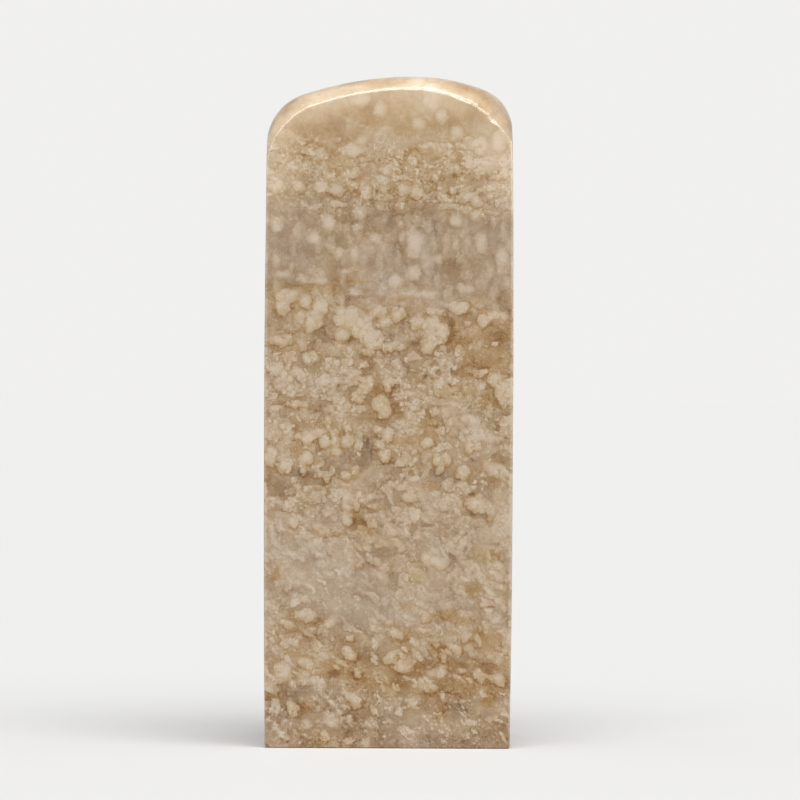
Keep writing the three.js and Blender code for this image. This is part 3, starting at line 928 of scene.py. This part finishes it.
def with_slabs(level, at):
    """Adds the slabs: slanting in the lower half, level in the upper."""
    many = at.patchy * 1.9 - at.calm * 0.5 - at.beside_crisp * 0.4
    knobs, small_knobs = at.knobs * 0.25, at.small_knobs * 0.2
    slanting = leaning(at.flowing, SLAB_FALL) * SLAB
    amount = by_height(at, SLANT) * many
    level = lumps(level, slanting, 1.6, amount, soft=0.25, top=0.98, halo_and_shade=0.12, knobs=knobs)
    slanting = slanting + 3.0
    level = lumps(level, slanting, 1.0, amount * 0.8, soft=0.12, top=1.0, halo_and_shade=0.14, knobs=small_knobs)
    amount = by_height(at, LAYERS) * many
    return lumps(level, at.flowing * LAYER, 1.4, amount, soft=0.15, top=1.0, halo_and_shade=0.2, knobs=knobs)


def with_round_lumps(level, at):
    """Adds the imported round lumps, the beige wedge over them, and the crisp lumps that stand out."""
    crowd = by_height(at, CROWD) * (1.0 - at.calm) + (at.patchy - 0.5) * 1.5
    crowd = crowd - at.front * 0.15 - at.beside_crisp * 0.45
    knobs = at.knobs * 0.25
    level = lumps(level, at.flowing, 2.3, crowd, soft=0.3, top=0.98, halo_and_shade=0.14, knobs=knobs)
    place, knobs = at.flowing + 7.0, at.small_knobs * 0.15
    level = lumps(level, place, 1.5, crowd, soft=0.12, top=1.0, halo_and_shade=0.2, knobs=knobs)
    knobs = at.small_knobs * 0.1
    level = lumps(level, at.ragged, 0.8, crowd - 0.25, soft=0.1, top=1.0, halo_and_shade=0.18, knobs=knobs)
    level = toward(level, at.misty * 0.4 + 0.79, at.wedge * 0.85)
    level = level - at.rim * at.patchy * 0.45
    # Painted light and shade: crisp lumps are paler at their top and darker at their foot
    crisp_body = at.lift * 0.05 + 0.99 - rise(at.crisp_gap, -0.7, 0.0) * 0.16
    crisp_body = crisp_body - rise(at.knobs, 0.0, 0.4) * 0.14
    level = toward(level, crisp_body, rise(at.crisp_gap, 0.12, -0.12) * 0.95)
    return lumps(level, at.ragged + 5.0, 0.6, crowd * 0.35, soft=0.1, top=1.03, halo_and_shade=0.16)


def with_grain(level, at):
    """Adds what lies over it all: marks, stains, crumbs and grain, and a painted highlight along the edges.
    """
    level = level * 1.15 - 0.155 - at.dark * 0.4 - at.stain * 0.12 - at.hollow * 0.06
    level = level + at.broad * 0.5
    crumbs = by_height(at, CRUMBS) * rise(cloud(at.ragged + 9.0, 2.4), 0.3, 0.5)
    away, chances, _ = cells(at.ragged, 0.55)
    grain = (chances[0] - 0.4) * rise(away, 0.6, 0.3) * crumbs
    away, chances, _ = cells(at.plain, 0.3)
    specks = (chances[0] - 0.42) * rise(away, 0.7, 0.2) * (crumbs * 0.6 + 0.08)
    level = level + specks + grain * 0.7
    level = level + (cloud(at.plain, FINEST) - 0.5) * 0.22 + (cloud(at.plain, FINE) - 0.5) * 0.2
    # Painted highlight: a thin paler line along the upright edges and round the foot
    near_sides_for_highlight = rise(magnitude(at.x), WIDTH / 2 - 0.55, WIDTH / 2 - 0.15)
    near_faces_for_highlight = rise(magnitude(at.y), DEPTH / 2 - 0.5, DEPTH / 2 - 0.15)
    foot_highlight = least(rise(at.z, 0.4, 0.1), most(near_sides_for_highlight, near_faces_for_highlight))
    return level + most(least(near_sides_for_highlight, near_faces_for_highlight), foot_highlight) * 0.3


def marbling(tree):
    """The stone's colour, with painted light: paler and brighter next to the arch and near the top."""
    at = stone_places(tree)
    add_marks(tree, at)
    level = clear_stone(at)
    level = with_slabs(level, at)
    level = with_round_lumps(level, at)
    level = with_grain(level, at)

    warmth = by_height(at, WARMTH) + (cloud(at.flowing + 50.0, 6.0) - 0.5) * 1.4
    warmth = warmth + at.stain * 0.8 + at.rim * 0.5 + at.vein * 0.3
    warmth = warmth - at.hollow * 0.2 - at.haze * 0.3
    colour = blend(warmth, toned(level, COOL_TONES), toned(level, WARM_TONES))

    # Painted light: near the faces the stone is made paler and brighter towards the top and along the arch
    near_face = rise(magnitude(at.y), DEPTH / 2 - PAINTED_LIGHT_DEPTH, DEPTH / 2)
    unevenly = (at.patchy - 0.5) * 3.0
    painted_top_light = rise(at.z + unevenly, HEIGHT - PAINTED_LIGHT_DROP, HEIGHT) * near_face
    painted_arch_light = rise(kept(tree, "arch_gap") + unevenly, 6.0, 1.0) * near_face
    lit = blend(painted_top_light * 0.08 + painted_arch_light * 0.2, colour, PAINTED_LIGHT_TONE)
    return lit * (painted_top_light * 0.16 + painted_arch_light * 0.07 + 1.05)


def stone_material():
    material, tree, shader = new_material("marbled_stone")
    tree.links.new(marbling(tree).socket, shader.inputs["Base Color"])
    shader.inputs["Roughness"].default_value = POLISH_ROUGHNESS
    return material


# Camera, stage and light

# The photo's side in pixels, its scale, where in it the stone stands and has its middle, and how the camera
# stands, in millimetres
PHOTO_SIDE = 800
MM_PER_PIXEL = 0.1202
FOOT_PIXEL_Y = 748.5
MIDLINE_PIXEL_X = 388.7
CAMERA_DISTANCE = 600
CAMERA_ROLL = math.radians(0.25)
NEAREST_SEEN = 0.01

# The floor's side in metres, and its tone as it is seen and as it lights the stone
FLOOR_SIDE = 200
FLOOR_SEEN = (217, 217, 217)
FLOOR_LIGHTING = (162, 161, 159)

# The sky's colour, and how bright it looks and how much it lights
SKY_COLOUR = (1, 0.995, 0.985, 1)
BACKDROP = 0.875
SKY_LIGHT = 0.56

LAMP_STRENGTH = 2.6
LAMP_HEIGHT = math.radians(57)
LAMP_TO_RIGHT = math.radians(12)
LAMP_SOFTNESS = math.radians(60)

# Strips that shine in the stone's edges, in metres: place, long and short side, if it hangs flat, radiance
STRIP_COLOUR = (0.85, 0.94, 1)
STRIPS = {
    "overhead": ((0, -0.36, 0.75), 1.9, 0.4, True, 8.5),
    "left": ((-1.3, -0.5, 0.5), 0.8, 0.25, False, 11),
    "right": ((1.3, -0.5, 0.5), 0.8, 0.3, False, 11),
}


def place_camera():
    data = bpy.data.cameras.new("camera")
    camera = add_object("camera", data)
    field = PHOTO_SIDE * MM_PER_PIXEL
    data.angle = 2 * math.atan(field / 2 / CAMERA_DISTANCE)
    data.clip_start, data.clip_end = NEAREST_SEEN, FLOOR_SIDE
    x = (PHOTO_SIDE / 2 - MIDLINE_PIXEL_X) * MM_PER_PIXEL
    z = (FOOT_PIXEL_Y - PHOTO_SIDE / 2) * MM_PER_PIXEL
    camera.location = Vector((x, -DEPTH / 2 - CAMERA_DISTANCE, z)) * MM
    camera.rotation_euler = Euler((math.pi / 2, -CAMERA_ROLL, 0))
    bpy.context.scene.camera = camera


def seen_directly(tree):
    """1 for what the camera sees, also in a mirror or through glass, and 0 for what lights the object."""
    path = add_node(tree, "LightPath", {})
    rays = [Field(path.outputs[f"Is {kind} Ray"]) for kind in ("Camera", "Glossy", "Transmission")]
    return most(most(rays[0], rays[1]), rays[2])


def build_floor():
    bpy.ops.mesh.primitive_plane_add(size=FLOOR_SIDE)
    floor = bpy.context.object
    floor.name = "floor"
    material, tree, shader = new_material("floor")
    tone = blend(seen_directly(tree), FLOOR_LIGHTING, FLOOR_SEEN)
    tree.links.new(tone.socket, shader.inputs["Base Color"])
    shader.inputs["Roughness"].default_value = 1
    shader.inputs["Specular IOR Level"].default_value = 0
    floor.data.materials.append(material)


def build_sky():
    world = bpy.data.worlds.new("world")
    bpy.context.scene.world = world
    world.use_nodes = True
    tree = world.node_tree
    background = tree.nodes["Background"]
    background.inputs["Color"].default_value = SKY_COLOUR
    strength = seen_directly(tree) * (BACKDROP - SKY_LIGHT) + SKY_LIGHT
    tree.links.new(strength.socket, background.inputs["Strength"])


def build_lights():
    lamp = add_object("lamp", bpy.data.lights.new("lamp", "SUN"))
    lamp.data.energy = LAMP_STRENGTH
    lamp.data.angle = LAMP_SOFTNESS
    lamp.rotation_euler = Euler((math.pi / 2 - LAMP_HEIGHT, 0, LAMP_TO_RIGHT))
    for name, (place, long_side, short_side, flat, radiance) in STRIPS.items():
        data = bpy.data.lights.new(name, "AREA")
        data.shape = "RECTANGLE"
        data.size, data.size_y = (long_side, short_side) if flat else (short_side, long_side)
        data.energy = radiance * math.pi * long_side * short_side
        data.color = STRIP_COLOUR
        strip = add_object(name, data)
        strip.location = place
        if not flat:
            strip.rotation_euler = Euler((math.pi / 2, 0, math.atan2(-place[0], place[1]) + math.pi))
        strip.visible_diffuse = False


bpy.context.scene.view_settings.view_transform = "Standard"
place_camera()
build_floor()
build_sky()
build_lights()
stone = build_stone()
stone.data.materials.append(stone_material())
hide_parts("seal_stone")
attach(stone, "root")
